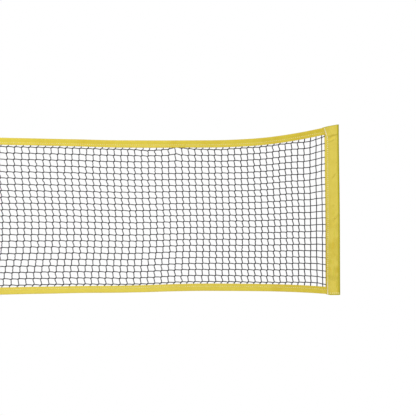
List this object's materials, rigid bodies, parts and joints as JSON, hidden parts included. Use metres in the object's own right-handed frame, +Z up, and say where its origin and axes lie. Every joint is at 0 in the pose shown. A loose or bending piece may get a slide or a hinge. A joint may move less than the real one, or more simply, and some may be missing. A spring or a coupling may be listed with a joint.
{
  "type": "sports net with end poles",
  "caption": "Long sports net of knotted square mesh bound with folded tape on all four sides, with a pole standing in a sewn pocket at each end.",
  "frame": {"origin": "midway between the two ends, in the plane of the netting, at the level of the pockets' feet", "axes": "+X along the net towards the end that the picture shows, +Y through the netting to the side away from the picture's viewer, +Z up along the poles"},
  "size_m": [3, 0.022, 0.6],
  "materials": {
    "netting_cord": "dark grey twisted cord",
    "tape_fabric": "yellow woven tape, matt",
    "sleeve_fabric": "yellow coated woven cloth, matt",
    "edge_cord": "off-white braided cord",
    "pole_tube": "drawn tube, satin",
    "plug_plastic": "black moulded plastic"
  },
  "bodies": {
    "net": {"net_panel": "netting_cord", "top_tape": "tape_fabric", "bottom_tape": "tape_fabric", "head_cord": "edge_cord", "foot_cord": "edge_cord", "right_side_tape": "tape_fabric", "left_side_tape": "tape_fabric", "right_sleeve": "sleeve_fabric", "left_sleeve": "sleeve_fabric"},
    "right_pole": {"right_pole": "pole_tube", "right_pole_top_plug": "plug_plastic", "right_pole_foot_plug": "plug_plastic"},
    "left_pole": {"left_pole": "pole_tube", "left_pole_top_plug": "plug_plastic", "left_pole_foot_plug": "plug_plastic"}
  },
  "joints": [
    {"name": "right_pole_slide", "type": "slide", "parent": "net", "child": "right_pole", "axis": [0, 0, 1], "range_m": [0, 0.6]},
    {"name": "left_pole_slide", "type": "slide", "parent": "net", "child": "left_pole", "axis": [0, 0, 1], "range_m": [0, 0.6]}
  ]
}
